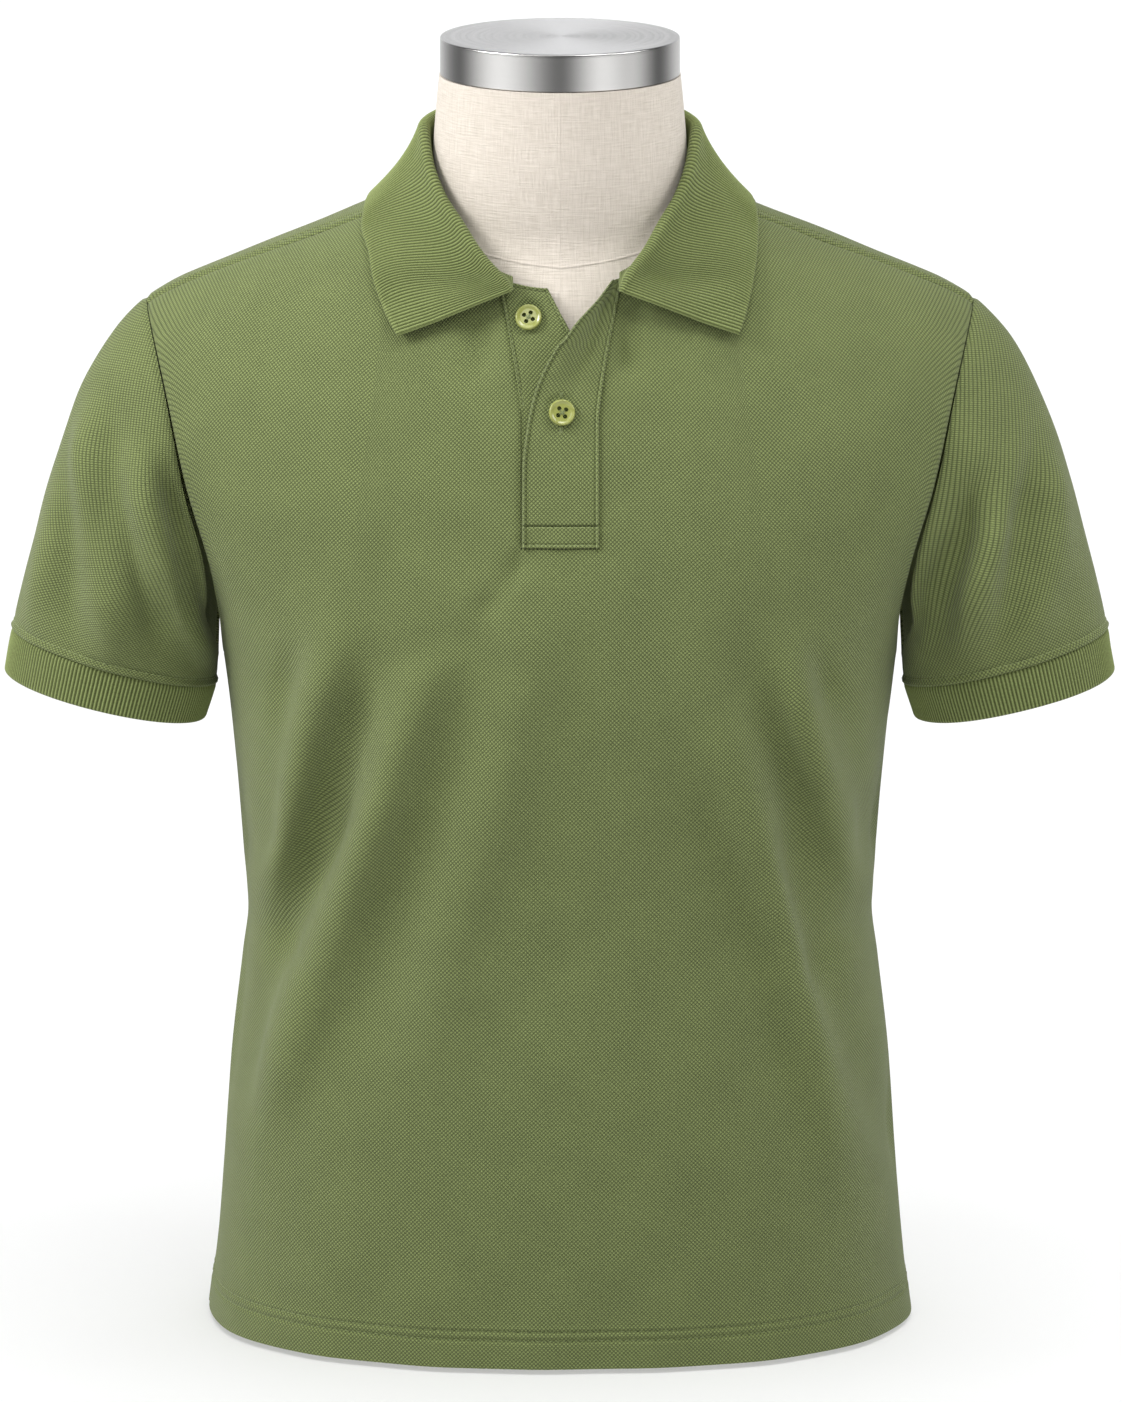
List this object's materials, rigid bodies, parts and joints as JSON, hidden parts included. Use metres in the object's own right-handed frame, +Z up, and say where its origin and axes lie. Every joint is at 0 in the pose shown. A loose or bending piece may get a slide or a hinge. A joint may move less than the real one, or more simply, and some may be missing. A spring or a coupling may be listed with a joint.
{
  "type": "short-sleeved polo shirt on a limbless dress form",
  "caption": "Olive green pique polo shirt with ribbed collar and cuffs and a buttoned placket, worn by a limbless linen-covered dress form with a metal neck cap.",
  "frame": {"origin": "middle of the flat base of the dress form, on the surface that it stands on", "axes": "+Z up, -Y towards the front of the shirt, +X towards the wearer's left"},
  "size_m": [0.6162, 0.2457, 0.7242],
  "materials": {
    "pique": "matt",
    "rib": "matt",
    "button": "glossy",
    "linen": "matt",
    "steel": "brushed"
  },
  "bodies": {
    "root": {"front_panel": "pique", "back_panel": "pique", "sleeve_left": "pique", "sleeve_right": "pique", "placket_over": "pique", "placket_under": "pique", "collar": "rib", "cuff_left": "rib", "cuff_right": "rib", "button_upper": "button", "button_lower": "button", "dress_form": "linen", "neck_cap": "steel"}
  },
  "joints": []
}
